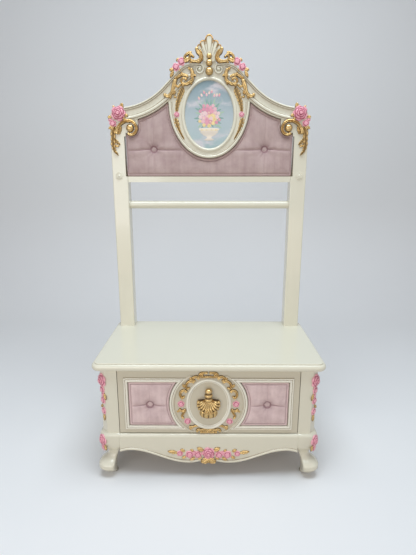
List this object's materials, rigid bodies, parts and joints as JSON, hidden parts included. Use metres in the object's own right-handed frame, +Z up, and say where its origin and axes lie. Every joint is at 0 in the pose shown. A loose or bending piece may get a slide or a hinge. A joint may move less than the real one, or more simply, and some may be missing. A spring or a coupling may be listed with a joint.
{
  "type": "kids clothing rack",
  "caption": "Child's clothes rack: low bench with one drawer on short cabriole legs, two posts with a hanging rail, and an upholstered headboard under a carved serpentine crest.",
  "frame": {"origin": "middle of the bench's footprint, on the floor", "axes": "+X to the right seen from the front, +Y to the back, +Z up"},
  "size_m": [0.72, 0.4125, 1.4005],
  "materials": {
    "lacquer": "satin ivory lacquer",
    "gilt": "gold leaf paint",
    "rose_paint": "satin pink paint",
    "upholstery": "soft velvet",
    "timber": "plain",
    "steel": "zinc plated",
    "glide": "matte",
    "picture": "painted"
  },
  "bodies": {
    "rack": {"bench_top": "lacquer", "pilaster_left": "lacquer", "pilaster_right": "lacquer", "rear_stile_left": "lacquer", "rear_stile_right": "lacquer", "side_panel_left": "lacquer", "side_panel_right": "lacquer", "back_panel": "timber", "carcass_floor": "timber", "stretcher_front": "timber", "stretcher_back": "timber", "runner_rail_left": "timber", "runner_rail_right": "timber", "front_apron": "lacquer", "side_apron_left": "lacquer", "side_apron_right": "lacquer", "rear_apron": "timber", "leg_front_left": "lacquer", "leg_front_right": "lacquer", "leg_rear_left": "lacquer", "leg_rear_right": "lacquer", "floor_glides": "glide", "base_roses": "rose_paint", "base_leaves": "gilt", "runner_cabinet_left": "steel", "runner_cabinet_right": "steel", "post_left": "lacquer", "post_right": "lacquer", "post_bolts": "steel", "panel_rail": "lacquer", "hanging_rail": "lacquer", "headboard_frame": "lacquer", "crest_moulding": "lacquer", "headboard_back": "timber", "headboard_pad": "upholstery", "headboard_buttons": "upholstery", "oval_rim": "lacquer", "oval_picture": "picture", "shell_finial": "lacquer", "crest_scrolls": "gilt", "corner_scrolls": "gilt", "headboard_roses": "rose_paint", "post_rosettes": "lacquer"},
    "drawer": {"drawer_front": "lacquer", "drawer_side_left": "timber", "drawer_side_right": "timber", "drawer_back": "timber", "drawer_bottom": "timber", "drawer_pad_left": "upholstery", "drawer_pad_right": "upholstery", "drawer_buttons": "upholstery", "medallion_rim": "lacquer", "drawer_wreath": "gilt", "drawer_roses": "rose_paint", "crown_pull": "gilt", "pull_screw": "steel", "runner_drawer_left": "steel", "runner_drawer_right": "steel"},
    "runner_left": {"runner_middle_left": "steel"},
    "runner_right": {"runner_middle_right": "steel"}
  },
  "joints": [
    {"name": "drawer_slide", "type": "slide", "parent": "rack", "child": "drawer", "axis": [0, -1, 0], "range_m": [0, 0.28]},
    {"name": "runner_left_slide", "type": "slide", "parent": "rack", "child": "runner_left", "axis": [0, -1, 0], "range_m": [0, 0.14]},
    {"name": "runner_right_slide", "type": "slide", "parent": "rack", "child": "runner_right", "axis": [0, -1, 0], "range_m": [0, 0.14]}
  ],
  "couplings": [
    {"joint": "runner_left_slide", "follows": "drawer_slide", "ratio": 0.5},
    {"joint": "runner_right_slide", "follows": "drawer_slide", "ratio": 0.5}
  ]
}
